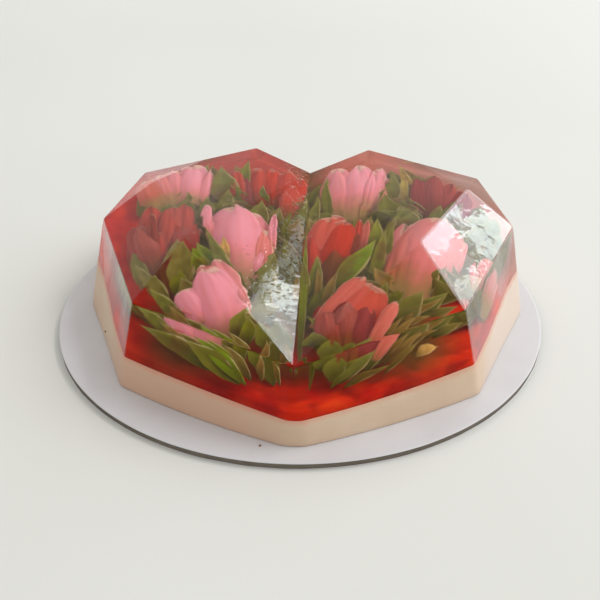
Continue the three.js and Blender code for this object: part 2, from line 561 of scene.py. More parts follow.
def leaf_finish():
    """Leaves of green jelly, with a painted highlight along one edge, paler at the tip, darkened by painted
    shade low in the cake, and with a faint painted glow.
    """
    paint = Paint("leaf_jelly")
    tone, along, across = paint.stored("tone"), paint.uv("Y"), paint.uv("X")
    streak = lengthwise_streaks(paint, 6)
    cloudy = paint.cloud(7, detail=3, shift=2)
    patchy = paint.cloud(9, detail=2, shift=6)
    stain = paint.cloud(15, detail=2, shift=11)
    # brown, beige, grey-green, olive, bright green and yellow
    body = paint.ramp(tone, [
        (0, (104, 58, 18)), (0.2, (144, 108, 50)), (0.35, (116, 112, 46)),
        (0.5, (118, 112, 14)), (0.75, (118, 138, 6)), (1, (208, 158, 84))])
    at = along + 0.25 * (streak - 0.5)
    colour = paint.mix(cloudy.between(0.3, 0.7) * 0.45, body, srgb(84, 72, 6))
    colour = paint.mix(at.between(0.5, 0.0) * 0.5, colour, srgb(80, 60, 6))
    colour = paint.mix(stain.between(0.5, 0.66) * 0.6, colour, srgb(104, 62, 28))
    # painted highlight: a pale edge along one side of each leaf
    rim = (across + 0.15 * (streak - 0.5)).between(0.86, 0.97) * patchy.between(0.4, 0.55)
    colour = paint.mix(rim * 0.6, colour, srgb(192, 164, 112))
    colour = paint.mix(at.between(0.65, 1.0) * 0.35, colour, srgb(154, 138, 80))
    # painted shade: leaves low in the cake, deep among the others, darkened
    low = (paint.axis("Z") + 0.006 * (cloudy - 0.5)).between(0.036, 0.026)
    colour = paint.mix(low * tone.between(1.0, 0.8) * 0.6, colour, srgb(66, 54, 8))
    # The faint emission is a painted glow that lifts the shade among the leaves.
    return paint.finish(
        base_color=colour, roughness=0.6, specular_ior_level=0.0, normal=paint.bump(streak, 0.25),
        emission_color=colour, emission_strength=0.08,
        subsurface_weight=0.35, subsurface_radius=(0.8, 0.9, 0.4), subsurface_scale=0.004)


def bubble_finish():
    paint = Paint("air_in_jelly")
    skin = paint.cloud(0.3, detail=2)
    return paint.finish(
        base_color=(1.0, 0.99, 0.97), roughness=0.02 + 0.05 * skin, ior=0.74, transmission_weight=1.0)


def crumb_finish():
    paint = Paint("brown_crumb")
    grain = paint.cloud(0.4, detail=3)
    return paint.finish(
        base_color=paint.ramp(grain, [(0.3, (104, 66, 34)), (0.7, (150, 104, 58))]),
        roughness=0.5 + 0.3 * grain, normal=paint.bump(grain, 0.1))


def floor_finish():
    paint = Paint("pale_table")
    patches = paint.cloud(300, detail=2)
    grain = paint.cloud(4, detail=3)
    colour = paint.ramp(patches, [(0.3, (229, 229, 223)), (0.7, (234, 234, 229))])
    return paint.finish(
        base_color=colour, roughness=0.6, specular_ior_level=0.25, normal=paint.bump(grain, 0.03))


# ---- board ----------------------------------------------------------------------------------

def disc(name, radius, low, high, round_mm, material, ragged):
    """A thin round plate between two heights over the table, its edge rounded and a little uneven."""
    bm = bmesh.new()
    profile = [
        (0.5, low), (radius - 12, low), (radius - round_mm, low), (radius, low + round_mm),
        (radius, (low + high) / 2), (radius, high - round_mm), (radius - round_mm, high),
        (radius - 3 * round_mm - 0.5, high), (radius - 12, high), (0.5, high),
    ]
    segments = 360
    rows = []
    for r, z in profile:
        row = []
        for k in range(segments):
            turn = 2 * math.pi * k / segments
            x, y = math.cos(turn), math.sin(turn)
            uneven = ragged * noise.noise(Vector((x * 9, y * 9, z))) if r > radius - 5 else 0
            row.append(bm.verts.new(Vector(((r + uneven) * x, (r + uneven) * y, z)) * MM))
        rows.append(row)
    for lower, upper in zip(rows, rows[1:]):
        for k in range(segments):
            n = (k + 1) % segments
            bm.faces.new((lower[k], lower[n], upper[n], upper[k]))
    bm.faces.new(list(reversed(rows[0])))
    bm.faces.new(rows[-1])
    return new_piece(name, bm, material)


def make_board():
    paper, card = board_paper(), board_card()
    thick, sheet = BOARD["thickness"], BOARD["paper"]
    core = disc("board_card", BOARD["radius"] - 0.25, 0.1, thick - 0.1, 0.3, card, ragged=0.25)
    top = disc("board_top_paper", BOARD["radius"], thick - sheet, thick, 0.18, paper, ragged=0.12)
    under = disc("board_under_paper", BOARD["radius"] - 0.1, 0, sheet * 0.7, 0.15, paper, ragged=0.12)
    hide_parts("cake_board")
    for piece, name in ((core, "board_core"), (top, "board_paper"), (under, "board_paper")):
        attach(piece, "root")


# Specks of burnt jelly: place over the board, in millimetres from the heart's axis, and size.
CRUMBS = [((-14.9, -108.1, 0.3), 1.1), ((-96.2, -26.4, 4.3), 1.0)]


def make_crumbs():
    """The brown speck on the board and the one on the milk jelly's left wall."""
    bm = bmesh.new()
    for spot, size in CRUMBS:
        made = bmesh.ops.create_icosphere(bm, subdivisions=2, radius=size / 2)
        for v in made["verts"]:
            v.co *= 1 + 0.5 * noise.noise(v.co * 3 + Vector(spot))
            v.co = set_down(Vector(spot) + Vector((v.co.x, v.co.y, v.co.z * 0.8)))
    new_extra("crumbs", bm, crumb_finish())


# ---- jelly layers ---------------------------------------------------------------------------

def make_milk():
    surfaces = [
        (flat(0), -0.7), (flat(0.25), -0.1), (flat(0.9), 0.15), (flat(3), 0.2),
        (lambda x, y: milk_level(x, y) * 0.5, 0.25), (over_milk(-1.4), 0.25), (over_milk(-0.6), 0.12),
        (over_milk(-0.2), -0.25), (over_milk(-0.05), -0.8),
    ]
    underside = shrink(ring_at(flat(0), -1.2), 0.98, flat(0))
    top = shrink(ring_at(over_milk(0), -2), 0.97, over_milk(-0.1))
    rings = [underside, *(ring_at(surface, out) for surface, out in surfaces), top]
    bm = bmesh.new()
    stack_rings(bm, rings, (0, 0, 0), (0, 0, milk_level(0, 0) - 0.3))
    piece = new_piece("milk_jelly", bm, milk_finish())
    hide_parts("milk_jelly_base")
    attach(piece, "root")


def red_level(x, y):
    """Height of the red layer's top, which is a little uneven."""
    return milk_level(x, y) + RED_TOP + 0.5 * noise.noise(Vector((x, y, 0)) / 22)


def make_red():
    sunk = 0.6
    top = ring_at(over_milk(RED_TOP), -0.12)
    rings = [ring_at(over_milk(-sunk), -0.12), ring_at(over_milk(1.2), -0.1)]
    rings += [ring_at(over_milk(RED_TOP - 0.7), -0.1), top]
    shares = (0.97, 0.9, 0.82, 0.72, 0.62, 0.5, 0.38, 0.26, 0.14)
    rings += [shrink(top, share, red_level) for share in shares]
    bm = bmesh.new()
    stack_rings(bm, rings, (0, 0, milk_level(0, 0) - sunk), (0, 0, red_level(0, 0)))
    piece = new_piece("red_jelly", bm, red_finish())
    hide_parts("red_jelly_layer")
    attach(piece, "root")


def by_raised_facet(spot, reach_mm=1.2):
    """Whether a spot lies on the rim of the right lobe's raised facet, where a white highlight is painted.
    """
    corners = [set_down(CORNER[name]) for name in FACETS["raised"]]
    for a, b in zip(corners, corners[1:] + corners[:1]):
        near, share = intersect_point_line(spot, a, b)
        if 0.01 < share < 0.99 and (near - spot).length < reach_mm * MM:
            return True
    return False


def make_clear():
    """The clear jelly, which reaches down round the red layer into the milk jelly."""
    bm = bmesh.new()
    known = {}

    def vert(point):
        key = tuple(round(v, 3) for v in point)
        if key not in known:
            known[key] = bm.verts.new(set_down(point))
        return known[key]

    def face(points):
        corners = []
        for point in points:
            v = vert(point)
            if v not in corners:
                corners.append(v)
        bm.faces.new(corners)

    rim, _foot = front_wall()
    for name, corners in FACETS.items():
        fan = [CORNER["lobePeak"], *rim] if name == "front" else [CORNER[corner] for corner in corners]
        face(fan)
        face([mirror(p) for p in reversed(fan)])
    ribs = wall_ribs()
    cuts = [cut_rib(rib, over_milk(-CLEAR_SINK)) for rib in ribs]
    for k in range(len(ribs)):
        n = (k + 1) % len(ribs)
        face([ribs[k][0], cuts[k], cuts[n], ribs[n][0]])
    face(cuts)
    bmesh.ops.recalc_face_normals(bm, faces=bm.faces)
    bm.normal_update()
    floor_edges = {e for f in bm.faces if len(f.verts) > 20 for e in f.edges}
    for edge in floor_edges:
        edge.smooth = False
    sharp = [e for e in bm.edges if e not in floor_edges and e.calc_face_angle(0) > math.radians(3.5)]
    rounded = bmesh.ops.bevel(
        bm, geom=sharp, offset=EDGE_ROUND * MM, offset_type="OFFSET", segments=3, profile=0.5,
        affect="EDGES", clamp_overlap=True)
    # The raised facet's rounded rim gets the material with the painted white highlight.
    for edge_face in rounded["faces"]:
        if by_raised_facet(edge_face.calc_center_median()):
            edge_face.material_index = 1
    piece = new_piece("clear_jelly_heart", bm, clear_finish(), edge_finish())
    crisp = piece.modifiers.new("flat_facets", "WEIGHTED_NORMAL")
    crisp.keep_sharp = True
    crisp.weight = 90
    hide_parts("clear_jelly")
    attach(piece, "root")


# ---- under the facets -----------------------------------------------------------------------

def facet_planes():
    """Each facet as its highest point and how its height changes across and along."""
    planes = []
    for corners in FACETS.values():
        top, *others = (Vector(CORNER[name]) for name in corners)
        for b, c in zip(others, others[1:]):
            up = (b - top).cross(c - top)
            planes.append((top, -up.x / up.z, -up.y / up.z))
    return planes


LOBE_PLANES = facet_planes()


def roof_at(x, y):
    """Height of the heart's top over a point. Each lobe bulges, so its lowest plane counts."""
    return min(top.z + (abs(x) - top.x) * across + (y - top.y) * along for top, across, along in LOBE_PLANES)


def kept_inside(point, skin=SKIN):
    """A point, pushed down where it would come out of the jelly's top."""
    x, y, z = point
    return Vector((x, y, min(z, roof_at(x, y) - skin)))


# ---- flowers --------------------------------------------------------------------------------

OUTLOOK = Vector((0, -0.65, 0.76))     # the way that the flowers face: forward and up
BODY_PETAL = {"turns": (180, 110, -110), "spread": 130, "reach": 0.92, "lift": 0.6, "thick": 0.8,
              "fade": 0.4}
PETAL = {"arch": 0.08, "point": 0.3, "thick": 0.6}
LEAF = {"fold": 0.35, "thick": 0.8}


def petal_outline(u, point):
    """Half-width of a petal at a share of its length. A low point number makes a round tip."""
    lower = math.sin(math.pi / 2 * min(1.0, (u + 0.25) / 0.8))
    upper = max(0.0, math.cos(math.pi / 2 * max(0.0, (u - 0.58) / 0.42))) ** point
    return lower * upper


def leaf_outline(u):
    """Half-width of a leaf, pointed at both ends, widest before the middle."""
    return (0.12 * (1 - u) + math.sin(math.pi * u ** 0.8) ** 1.25) / 1.06 if u < 1 else 0.0


def body_swell(t):
    """Half-width of a tulip's body from foot to head, between an egg and a cup."""
    return math.sin(math.pi * (0.09 + 0.62 * t)) ** 0.75


def over_bed(point):
    """A place given with its height over the red layer, on which the flowers stand."""
    x, y, height = point
    return Vector((x, y, milk_level(x, y) + RED_TOP + height))


def add_sheet(bm, rows, columns, place, thick, tone, fade=0.3):
    """A thin closed skin. place(u, v) gives a point and the way out of it: u along, v from -1 to 1."""
    uv_layer = bm.loops.layers.uv.verify()
    layers = bm.verts.layers.float
    tone_layer = layers.get("tone") or layers.new("tone")
    fade_layer = layers.get("fade") or layers.new("fade")
    grid, uvs = [], {}
    for i in range(rows + 1):
        u = math.sin(math.pi / 2 * i / rows)
        ring = []
        for half, sign in ((range(columns + 1), 1), (range(columns - 1, 0, -1), -1)):
            for j in half:
                v = -1 + 2 * j / columns
                point, out = place(u, v)
                body = sign * (thick / 2 * math.sqrt(max(0.0, 1 - v ** 4)) * min(1, 0.3 + 4 * (1 - u)))
                vert = bm.verts.new(set_down(kept_inside(point + out * body)))
                vert[tone_layer], vert[fade_layer] = tone, fade
                uvs[vert] = ((v + 1) / 2, u)
                ring.append(vert)
        grid.append(ring)
    faces = []
    count = len(grid[0])
    for lower, upper in zip(grid, grid[1:]):
        for k in range(count):
            n = (k + 1) % count
            faces.append(bm.faces.new((lower[k], lower[n], upper[n], upper[k])))
        for k in (0, columns):
            bm.edges.get((lower[k], upper[k])).smooth = False
    faces.append(bm.faces.new(list(reversed(grid[0]))))
    faces.append(bm.faces.new(grid[-1]))
    for face in faces:
        for loop in face.loops:
            loop[uv_layer].uv = uvs[loop.vert]


def facing_of(run):
    """The way that something which lies along a run faces, and its side."""
    facing = (OUTLOOK - run * OUTLOOK.dot(run)).normalized()
    return facing, run.cross(facing)


def add_body_petal(bm, foot, head, girth, depth, tone, turn):
    """A petal wrapped round a tulip's body at a turn, in degrees, away from its facing side."""
    foot, head = over_bed(foot), over_bed(head)
    facing, side = facing_of((head - foot).normalized())
    reach, spread = BODY_PETAL["reach"], BODY_PETAL["spread"]
    middle, half = math.radians(turn), math.radians(spread) / 2
    seed = foot * 0.31 + Vector((turn * 0.05, reach * 3, spread * 0.02))

    def place(u, v):
        swell = body_swell(u * reach)
        turned = middle + half * petal_outline(u, 0.4) * v
        out = side * math.sin(turned) + facing * math.cos(turned)
        proud = BODY_PETAL["lift"] - 0.8 * v ** 4 + 0.7 * noise.noise(seed + Vector((v * 2, u * 2, 5)))
        spot = foot + (head - foot) * u * reach
        spot += side * math.sin(turned) * (girth / 2 * swell + proud)
        spot += facing * math.cos(turned) * (depth / 2 * swell + proud)
        return spot, out
    add_sheet(bm, 20, 14, place, BODY_PETAL["thick"], tone, BODY_PETAL["fade"])


def add_petal(bm, base, tip, width, wrap, tone, fade):
    """A free petal from base to tip, bulging forward, curved across through an angle in degrees."""
    base, tip = over_bed(base), over_bed(tip)
    bulge = PETAL["arch"] * (tip - base).length * 4
    facing, side = facing_of((tip - base).normalized())
    radius = width / 2 / math.sin(math.radians(wrap) / 2)
    seed = base * 0.27 + tip * 0.13

    def place(u, v):
        frill = 0.14 * noise.noise(seed + Vector((u * 4, 3 * v, 0)))
        frill += 0.07 * noise.noise(seed + Vector((u * 13, 5 * v, 4)))
        half_width = width / 2 * petal_outline(u, PETAL["point"]) * (1 + frill * abs(v))
        along = u * (1 + 0.1 * noise.noise(seed + Vector((v * 2.2, 8, 0))) * u)
        turned = math.asin(min(1.0, half_width / radius)) * v
        out = side * math.sin(turned) + facing * math.cos(turned)
        ribs = 0.5 * noise.noise(seed + Vector((v * 6, u * 1.0, 9)))
        ribs += 0.8 * noise.noise(seed + Vector((v * 1.6, u * 1.8, 5)))
        curl = 1.3 * u * u * noise.noise(seed + Vector((v * 2.2, 2, 1)))
        spot = base + (tip - base) * along + facing * (bulge * u * (1 - u) - radius) + out * radius
        return spot + out * (ribs + curl), out
    add_sheet(bm, 30, 20, place, PETAL["thick"], tone, fade)


def add_leaf(bm, base, tip, width, tone, arch=2.0, bow=0.0, roll=0.0):
    """A lance-shaped leaf, folded a little along its midrib."""
    base, tip = Vector(base), Vector(tip)
    run = (tip - base).normalized()
    facing = Matrix.Rotation(math.radians(roll), 3, run) @ facing_of(run)[0]
    control = (base + tip) / 2 + run.cross(facing) * bow * 2 + facing * arch * 2
    seed = base * 0.23 + tip * 0.11

    def place(u, v):
        centre = base * (1 - u) ** 2 + control * 2 * u * (1 - u) + tip * u ** 2
        along = ((control - base) * (1 - u) + (tip - control) * u).normalized()
        out = (facing - along * facing.dot(along)).normalized()
        edge = 1 + 0.22 * noise.noise(seed + Vector((u * 4, 3 * v, 0)))
        half_width = width / 2 * leaf_outline(u) * edge
        height = LEAF["fold"] * half_width * (abs(v) ** 1.3 - 0.4)
        height += 0.5 * noise.noise(seed + Vector((u * 5, v * 1.5, 6)))
        sway = 0.8 * noise.noise(seed + Vector((u * 2.5, 3, 3)))
        return centre + along.cross(out) * (half_width * v + sway) + out * height, out
    add_sheet(bm, 20, 8, place, LEAF["thick"], tone)


# A tulip: the foot and head of its body as (across, along, height over the red layer), the body's
# girth and depth, and the tone of the petals round it; and the petals in front, from the innermost
# to the outermost, each as (base, tip, width, angle that it curves through, tone, share of its
# length that fades to olive). Tones are those of PETAL_TONES, or lie between them.
TULIPS = {
    "tulip_left_back": (((-64, 29, 3), (-68, 73, 9), 32, 11, 0.85), [
        ((-70, 27, 3), (-85, 65, 10), 14, 100, 0.72, 0.4), ((-67, 27, 3), (-79, 70, 11), 10, 90, 0.84, 0.4),
        ((-65, 27, 3), (-73, 74, 12), 13, 100, 0.92, 0.35), ((-55, 31, 3), (-53, 73, 13), 7, 80, 0.95, 0.2),
        ((-59, 27, 3), (-63, 79, 13), 19, 130, 1, 0.3)]),
    "tulip_left": (((-65, -32, 3), (-72, 20, 10), 28, 12, 0.24), [
        ((-60, -14, 4), (-61, 27, 15), 12, 100, 0.32, 0.2),
        ((-69, -15, 4), (-77, 31, 14), 15, 100, 0.3, 0.2),
        ((-65, -17, 5), (-67, 25, 16), 12, 100, 0.33, 0.2), ((-67, -18, 8), (-76, 19, 18), 5, 60, 0.08, 0),
        ((-67, -29, 4), (-85, 14, 12), 12, 100, 0.24, 0.1),
        ((-61, -35, 6), (-81, 10, 15), 12, 100, 0.38, 0.3), ((-62, -30, 7), (-69, 2, 15), 7, 80, 0.3, 0.2),
        ((-59, -42, 6), (-66, -12, 12), 10, 90, 0.1, 0.5)]),
    "tulip_back_left": (((-24, 37, 3), (-24, 74, 10), 36, 10, 0.3), [
        ((-37, 37, 3), (-40, 72, 14), 9, 80, 0.46, 0.2), ((-32, 38, 3), (-34, 72, 11), 8, 60, 0.2, 0.1),
        ((-27, 39, 3), (-28, 76, 13), 13, 90, 0.47, 0.2), ((-21, 39, 3), (-21, 77, 13), 11, 90, 0.5, 0.2),
        ((-16, 38, 3), (-13, 76, 14), 14, 90, 0.48, 0.2), ((-12, 34, 3), (-6, 70, 13), 11, 90, 0.52, 0.2),
        ((-14, 27, 4), (-9, 60, 13), 11, 90, 0.57, 0.3)]),
    "tulip_centre_left": (((-29, -36, 3), (-36, 20, 10), 27, 12, 0.93), [
        ((-49, 0, 8), (-50, 27, 17), 5, 60, 0.97, 0.1), ((-18, -11, 5), (-17, 25, 16), 5, 60, 0.97, 0.25),
        ((-28, -30, 5), (-30, 26, 14), 22, 110, 0.92, 0.2),
        ((-25, -34, 4), (-22, 10, 14), 12, 90, 0.8, 0.3), ((-30, -38, 4), (-37, 27, 17), 31, 110, 1, 0.22),
        ((-25, -30, 6), (-21, -6, 13), 7, 90, 0.96, 0.1)]),
    "tulip_front_left": (((-30, -66, 3), (-44, -40, 11), 24, 12, 0.9), [
        ((-26, -60, 5), (-42, -25, 17), 14, 60, 0.86, 0), ((-31, -62, 6), (-47, -30, 16), 8, 60, 0.84, 0),
        ((-39, -62, 4), (-54, -55, 8), 6, 60, 0.84, 0.1), ((-30, -71, 5), (-45, -34, 17), 24, 120, 1, 0.08),
        ((-42, -63, 6), (-54, -45, 13), 16, 120, 1, 0.05)]),
    "tulip_back_right": (((26, 29, 3), (25, 75, 10), 34, 12, 0.92), [
        ((31, 31, 3), (37, 78, 14), 9, 80, 0.95, 0.2), ((21, 30, 3), (15, 79, 15), 17, 120, 0.93, 0.25),
        ((26, 28, 4), (26, 80, 16), 19, 120, 1, 0.25), ((30, 30, 5), (34, 74, 15), 7, 70, 0.97, 0.25)]),
    "tulip_centre_right": (((13, -26, 3), (16, 11, 10), 26, 12, 0.3), [
        ((9, -18, 5), (13, 24, 17), 22, 80, 0.6, 0), ((26, -10, 6), (28, 19, 15), 5, 60, 0.47, 0.1),
        ((30, -7, 5), (32, 19, 15), 4, 60, 0.72, 0.1), ((20, -18, 6), (26, 9, 14), 9, 60, 0.06, 0),
        ((7, -26, 5), (4, 8, 14), 13, 100, 0.47, 0), ((15, -26, 5), (20, 16, 17), 20, 100, 0.5, 0.1),
        ((17, -37, 6), (17, -3, 13), 13, 90, 0.48, 0.8)]),
    "tulip_far_right": (((64, 23, 3), (67, 64, 9), 26, 10, 0.15), [
        ((71, 27, 3), (79, 55, 10), 9, 80, 0.12, 0.2), ((58, 23, 3), (57, 68, 13), 11, 90, 0.16, 0.2),
        ((66, 27, 3), (74, 63, 12), 10, 90, 0.24, 0.2), ((62, 21, 3), (65, 72, 14), 12, 100, 0.22, 0.25)]),
    "tulip_right": (((49, -40, 3), (64, 16, 11), 30, 13, 0.86), [
        ((56, -38, 4), (72, 12, 12), 14, 100, 0.84, 0.3), ((43, -42, 4), (51, -3, 13), 13, 90, 0.73, 0.35),
        ((45, -43, 4), (60, 12, 15), 22, 110, 0.79, 0.26),
        ((48, -44, 4), (67, 16, 17), 27, 110, 0.84, 0.22)]),
    "tulip_side_right": (((79, -38, 2), (86, -6, 6), 13, 7, 0.86), [
        ((79, -38, 2), (87, -4, 7), 11, 110, 0.86, 0.4)]),
    "tulip_front_right": (((20, -74, 3), (24, -50, 9), 28, 11, 0.1), [
        ((9, -66, 6), (29, -37, 18), 12, 80, 0.66, 0), ((21, -74, 6), (34, -43, 16), 22, 100, 0.59, 0),
        ((15, -68, 6), (23, -48, 14), 16, 80, 0.1, 0), ((22, -62, 8), (26, -50, 14), 8, 60, 0.5, 0),
        ((26, -66, 4), (39, -61, 8), 9, 70, 0.12, 0), ((24, -77, 7), (31, -56, 14), 13, 100, 0.2, 0.1),
        ((32, -76, 7), (44, -54, 17), 7, 80, 0.73, 0), ((21, -80, 6), (23, -56, 15), 12, 90, 0.4, 0.3),
        ((17, -81, 6), (13, -58, 13), 12, 90, 0.37, 0.3)]),
}

# Single leaves, each as base, tip, width and tone.
# Tones of leaves: 0 brown, 0.2 beige, 0.35 grey-green, 0.5 olive, 0.75 bright green and 1 yellow.
LEAVES = {
    "leaves_front_left": [
        ((-48, -65, 3), (-68, -43, 8), 6, 0.2), ((-35, -83, 3), (-70, -54, 8), 9, 0.4),
        ((-42, -78, 3), (-60, -52, 10), 6, 0.15), ((-32, -74, 3), (-56, -60, 9), 7, 0.3),
        ((-24, -92, 3), (-49, -72, 12), 10, 0.45), ((-21, -93, 4), (-44, -70, 13), 8, 0.75),
        ((-23, -86, 3), (-38, -73, 14), 8, 0.6), ((-18, -88, 3), (-30, -74, 13), 6, 0.25),
        ((-28, -72, 5), (-24, -60, 16), 9, 0.4), ((-22, -76, 4), (-22, -64, 15), 7, 0.5)],
    "leaves_left": [
        ((-56, -40, 6), (-58, -7, 17), 13, 0.3), ((-54, -45, 5), (-60, -24, 11), 9, 0.5),
        ((-42, -22, 5), (-53, -11, 18), 9, 0.76), ((-45, -29, 5), (-52, -19, 19), 8, 0.7),
        ((-28, -50, 8), (-50, 3, 20), 8, 0.36), ((-37, -24, 12), (-41, -2, 18), 5, 1),
        ((-48, -48, 5), (-56, -35, 14), 9, 0.35), ((-51, -45, 5), (-51, -33, 14), 7, 0.3),
        ((-66, -44, 4), (-81, -5, 9), 8, 0.33), ((-58, -51, 5), (-78, -22, 13), 6, 0.3),
        ((-54, -57, 4), (-70, -42, 12), 6, 0.38), ((-60, -50, 3), (-74, -30, 9), 6, 0.1)],
    "leaves_back_left": [
        ((-40, 33, 3), (-48, 79, 15), 15, 0.42), ((-38, 45, 3), (-34, 87, 16), 8, 0.45),
        ((-27, 15, 3), (-25, 42, 13), 11, 0.35), ((-43, 29, 3), (-42, 52, 12), 8, 0.35),
        ((-60, 60, 3), (-55, 84, 13), 7, 0.42), ((-76, 30, 2), (-86, 50, 6), 8, 0.4),
        ((-60, 22, 3), (-62, 42, 10), 9, 0.4), ((-50, 22, 3), (-52, 42, 12), 6, 0.36),
        ((-18, 20, 3), (-16, 40, 10), 8, 0.3)],
    "leaves_centre": [
        ((-19, -38, 4), (-17, -14, 13), 9, 0.36), ((-13, -78, 3), (-19, -68, 14), 7, 0.45),
        ((-13, -89, 4), (-13, -79, 12), 4, 0.15), ((-4, -89, 3), (-7, -78, 10), 3, 0.1),
        ((4, -90, 2), (0, 20, 17), 5, 0.6), ((-3, -50, 3), (-3, -23, 13), 5, 0.22),
        ((3, -44, 4), (0, -14, 17), 7, 0.45), ((8, -40, 4), (7, -12, 17), 7, 0.42),
        ((10, -44, 4), (8, -21, 15), 4, 0.2), ((12, -48, 5), (18, -26, 15), 5, 0.22),
        ((2, 2, 8), (2, 28, 16), 3, 0.25), ((-4, 22, 3), (-2, 48, 13), 6, 0.4),
        ((4, 24, 3), (6, 52, 14), 6, 0.42), ((-7, -86, 1), (-12, -58, 4), 12, 0.45)],
    "leaves_back_right": [
        ((54, 54, 3), (47, 84, 16), 6, 0.95), ((59, 71, 2), (46, 90, 9), 5, 1),
        ((42, 40, 3), (44, 76, 13), 8, 0.42), ((47, 36, 3), (50, 80, 12), 5, 0.9),
        ((43, 22, 3), (40, 50, 12), 11, 0.45), ((52, 10, 3), (48, 34, 12), 13, 0.36),
        ((44, -4, 4), (47, 26, 12), 10, 0.4), ((48, 6, 4), (55, 32, 12), 9, 0.34),
        ((32, 0, 6), (34, 24, 15), 6, 0.85), ((36, -4, 5), (37, 20, 16), 7, 0.8),
        ((62, 18, 3), (67, 38, 12), 7, 0.4), ((13, 30, 3), (9, 72, 14), 6, 0.42)],
    "leaves_right": [
        ((17, -36, 8), (36, -4, 20), 12, 0.72), ((34, -36, 5), (41, 7, 18), 7, 0.46),
        ((40, -26, 5), (45, 18, 18), 5, 0.4), ((44, -59, 4), (57, -43, 15), 11, 0.33),
        ((51, -53, 4), (68, -41, 13), 8, 0.36), ((43, -59, 4), (60, -58, 12), 4, 0.18),
        ((57, -52, 4), (72, -50, 11), 5, 0.3), ((34, -50, 3), (40, -34, 13), 6, 0.36),
        ((46, -56, 5), (66, -46, 14), 4, 0.2)],
    "leaves_under_raised_facet": [
        ((64, 0, 2), (72, 30, 5), 18, 0.47), ((72, -6, 2), (82, 30, 5), 16, 0.42),
        ((80, -10, 1), (90, 22, 4), 13, 0.44), ((66, -24, 2), (80, 4, 5), 17, 0.48),
        ((78, 14, 2), (86, 44, 4), 15, 0.4), ((86, 2, 1), (95, 28, 3), 9, 0.36),
        ((86, 18, 2), (94, 42, 4), 12, 0.4), ((82, 30, 2), (86, 52, 4), 12, 0.42),
        ((62, -42, 2), (76, -18, 5), 13, 0.42), ((74, -32, 1), (86, -6, 3), 10, 0.4)],
    "leaves_front_right": [
        ((42, -60, 3), (58, -51, 10), 4, 0.2), ((32, -75, 3), (47, -59, 12), 4, 0.16),
        ((38, -81, 3), (52, -63, 9), 4, 0.25), ((36, -74, 4), (54, -57, 11), 4, 0.2),
        ((18, -88, 3), (33, -74, 12), 6, 0.36), ((14, -91, 3), (28, -79, 9), 4, 0.4),
        ((10, -77, 3), (8, -71, 10), 10, 0.42), ((13, -86, 3), (16, -73, 9), 11, 0.42),
        ((20, -86, 3), (25, -74, 8), 8, 0.46), ((28, -80, 3), (36, -68, 9), 5, 0.36),
        ((20, -90, 2), (40, -80, 7), 4, 0.1), ((51, -68, 4), (61, -63, 6), 6, 1)],
}

# Where leaves fill the heart, as an outline round it, and how they do.
THICKET = {
    "outline": [
        (-80, 60), (-74, 10), (-60, -26), (-42, -50), (-20, -62), (0, -60), (14, -62), (40, -52),
        (62, -34), (78, 0), (84, 60), (60, 85), (30, 92), (0, 70), (-30, 92), (-60, 85)],
    "step": 8, "length": (18, 34), "width": (5, 9), "rise": (2, 9), "seed": 5,
}
COLLAR = {"leaves": 11, "fan": 80, "length": (14, 26), "width": (4, 8), "rise": (4, 11)}


def within(outline, x, y):
    inside = False
    for (x0, y0), (x1, y1) in zip(outline, outline[1:] + outline[:1]):
        if (y0 > y) != (y1 > y) and x < x0 + (y - y0) * (x1 - x0) / (y1 - y0):
            inside = not inside
    return inside


def sunk_piece(name, bm, material):
    """A piece set in the clear jelly, made of closed skins."""
    bmesh.ops.recalc_face_normals(bm, faces=bm.faces)
    new_extra(name, bm, material)


def make_tulips(petal):
    for name, (body, petals) in TULIPS.items():
        bm = bmesh.new()
        for turn in BODY_PETAL["turns"]:
            add_body_petal(bm, *body, turn)
        for row in petals:
            add_petal(bm, *row)
        sunk_piece(name, bm, petal)


def make_leaves(leaf):
    for name, rows in LEAVES.items():
        bm = bmesh.new()
        for base, tip, width, tone in rows:
            add_leaf(bm, over_bed(base), over_bed(tip), width, tone)
        sunk_piece(name, bm, leaf)


def add_loose_leaf(bm, draw, x, y, heading, sizes, low):
    """A leaf of drawn size that grows from a place on the red layer in a heading, in degrees."""
    length, width, rise = (draw.uniform(*sizes[key]) for key in ("length", "width", "rise"))
    turn = math.radians(heading)
    base = over_bed((x, y, low))
    tip = over_bed((x + math.cos(turn) * length, y + math.sin(turn) * length, low + rise))
    if not within(THICKET["outline"], tip.x, tip.y):
        return
    add_leaf(bm, base, tip, width, draw.choice((0.2, 0.3, 0.36, 0.4, 0.44, 0.5)),
             arch=draw.uniform(0.5, 3), bow=draw.uniform(-1.5, 1.5), roll=draw.uniform(-20, 20))


def make_thicket(leaf):
    """Low leaves all over the bed, and a collar of leaves behind the foot of each tulip."""
    draw = random.Random(THICKET["seed"])
    bm = bmesh.new()
    step = THICKET["step"]
    for i in range(-11, 12):
        for j in range(-12, 12):
            x, y = (i + draw.uniform(-0.5, 0.5)) * step, (j + draw.uniform(-0.5, 0.5)) * step
            heading = 90 - x * 0.35 + draw.uniform(-40, 40)
            if within(THICKET["outline"], x, y):
                add_loose_leaf(bm, draw, x, y, heading, THICKET, draw.uniform(0.2, 1.5))
    sunk_piece("leaf_thicket", bm, leaf)
    bm = bmesh.new()
    for ((x, y, _z), head, girth, _depth, _tone), _petals in TULIPS.values():
        towards = math.degrees(math.atan2(head[1] - y, head[0] - x))
        for k in range(COLLAR["leaves"]):
            share = k / (COLLAR["leaves"] - 1) * 2 - 1
            heading = towards + share * COLLAR["fan"] + draw.uniform(-8, 8)
            spot = math.radians(heading)
            away = girth * draw.uniform(0.12, 0.3)
            add_loose_leaf(
                bm, draw, x + math.cos(spot) * away, y + math.sin(spot) * away, heading, COLLAR, 2)
    sunk_piece("leaf_collars", bm, leaf)


# ---- air bubbles ----------------------------------------------------------------------------

